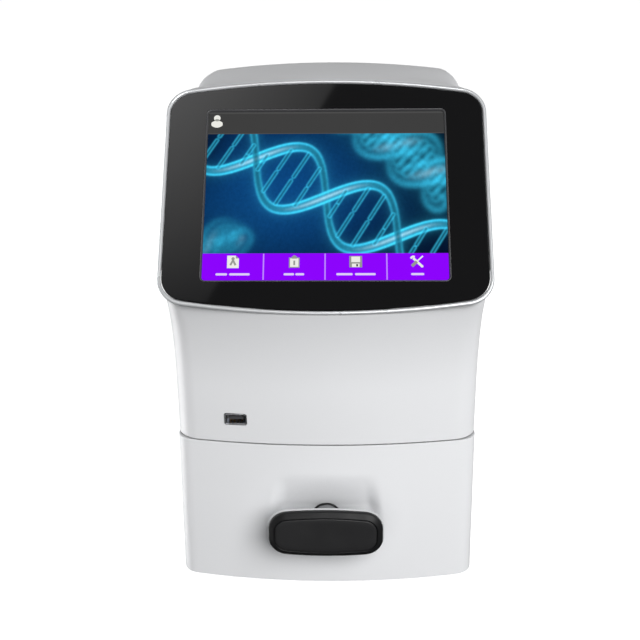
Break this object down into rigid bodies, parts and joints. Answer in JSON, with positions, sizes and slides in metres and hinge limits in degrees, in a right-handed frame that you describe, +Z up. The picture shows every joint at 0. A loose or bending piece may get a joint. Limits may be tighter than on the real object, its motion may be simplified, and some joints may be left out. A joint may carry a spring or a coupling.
{
  "type": "thermal cycler",
  "caption": "Bench thermal cycler with a tilted glass-fronted display head, a pull-out drawer carrying the well block, and a motor-driven heated lid inside.",
  "frame": {"origin": "centre of the bounding box, on the bench surface under the feet", "axes": "+Z up, +X across the front (towards the right seen from the front), front faces -Y; the drawer opens along -Y"},
  "size_m": [0.2216, 0.348, 0.3477],
  "materials": {
    "shell": "satin moulded off-white plastic",
    "sheet_steel": "zinc-plated sheet",
    "rubber": "matt",
    "rim": "satin silver",
    "glass_black": "black back-printed cover glass, clear over the display window",
    "screen": "liquid crystal panel, lit",
    "circuit_board": "solder-masked laminate",
    "steel": "bright",
    "psu_case": "brushed",
    "black_plastic": "fine texture",
    "handle_face": "satin",
    "grey_plastic": "fine texture",
    "motor": "satin black steel with bare end caps",
    "aluminium": "machined and anodised",
    "brass": "turned",
    "heater": "hard anodised dark grey",
    "ceramic": "matt white",
    "foam": "closed-cell silicone foam"
  },
  "bodies": {
    "casing": {"upper_housing": "shell", "lower_housing": "shell", "base_plate": "sheet_steel", "rear_panel": "sheet_steel", "chassis_plate_left": "sheet_steel", "chassis_plate_right": "sheet_steel", "mid_shelf": "sheet_steel", "foot_front_left": "rubber", "foot_front_right": "rubber", "foot_rear_left": "rubber", "foot_rear_right": "rubber", "bezel_ring": "rim", "display_glass": "glass_black", "lcd_panel": "screen", "display_bracket": "sheet_steel", "display_board": "circuit_board", "usb_port": "steel", "main_board": "circuit_board", "power_supply": "psu_case", "inlet_module": "black_plastic", "fan_frame_left": "black_plastic", "fan_frame_right": "black_plastic", "air_duct": "grey_plastic", "lid_bridge": "sheet_steel", "lid_motor": "motor", "guide_rod_left": "steel", "guide_rod_right": "steel", "outer_rail_left": "steel", "outer_rail_right": "steel"},
    "drawer": {"drawer_front": "shell", "drawer_tray": "sheet_steel", "handle_plate": "black_plastic", "handle_insert": "handle_face", "handle_post": "grey_plastic", "heat_sink": "aluminium", "peltier_1": "ceramic", "peltier_2": "ceramic", "peltier_3": "ceramic", "peltier_4": "ceramic", "peltier_5": "ceramic", "peltier_6": "ceramic", "sample_block": "aluminium", "block_seal": "foam", "block_surround": "grey_plastic", "inner_rail_left": "steel", "inner_rail_right": "steel"},
    "heated_lid": {"lid_carrier": "aluminium", "lid_nut": "brass", "heater_plate": "heater", "lid_skirt": "grey_plastic", "lid_spring_1": "steel", "lid_spring_2": "steel", "lid_spring_3": "steel", "lid_spring_4": "steel"},
    "lid_screw": {"lead_screw": "steel"},
    "left_fan": {"fan_rotor_left": "black_plastic"},
    "right_fan": {"fan_rotor_right": "black_plastic"},
    "power_switch": {"power_rocker": "black_plastic"},
    "fuse_holder": {"fuse_drawer": "black_plastic"}
  },
  "joints": [
    {"name": "drawer_slide", "type": "slide", "parent": "casing", "child": "drawer", "axis": [0, -1, 0], "range_m": [0, 0.13]},
    {"name": "lid_slide", "type": "slide", "parent": "casing", "child": "heated_lid", "axis": [0, 0, 1], "range_m": [-0.01, 0]},
    {"name": "screw_spin", "type": "hinge", "parent": "casing", "child": "lid_screw", "pos_m": [0, -0.074, 0.16], "axis": [0, 0, 1], "range_deg": [-450, 0]},
    {"name": "left_fan_spin", "type": "hinge", "parent": "casing", "child": "left_fan", "pos_m": [-0.036, 0.155, 0.058], "axis": [0, 1, 0], "continuous": true},
    {"name": "right_fan_spin", "type": "hinge", "parent": "casing", "child": "right_fan", "pos_m": [0.036, 0.155, 0.058], "axis": [0, 1, 0], "continuous": true},
    {"name": "power_rocker_tilt", "type": "hinge", "parent": "casing", "child": "power_switch", "pos_m": [-0.058, 0.1709, 0.174], "axis": [1, 0, 0], "range_deg": [0, 18]},
    {"name": "fuse_slide", "type": "slide", "parent": "casing", "child": "fuse_holder", "axis": [0, 1, 0], "range_m": [0, 0.012]}
  ],
  "couplings": [
    {"joint": "screw_spin", "follows": "lid_slide", "rad_per_m": 785.4}
  ]
}
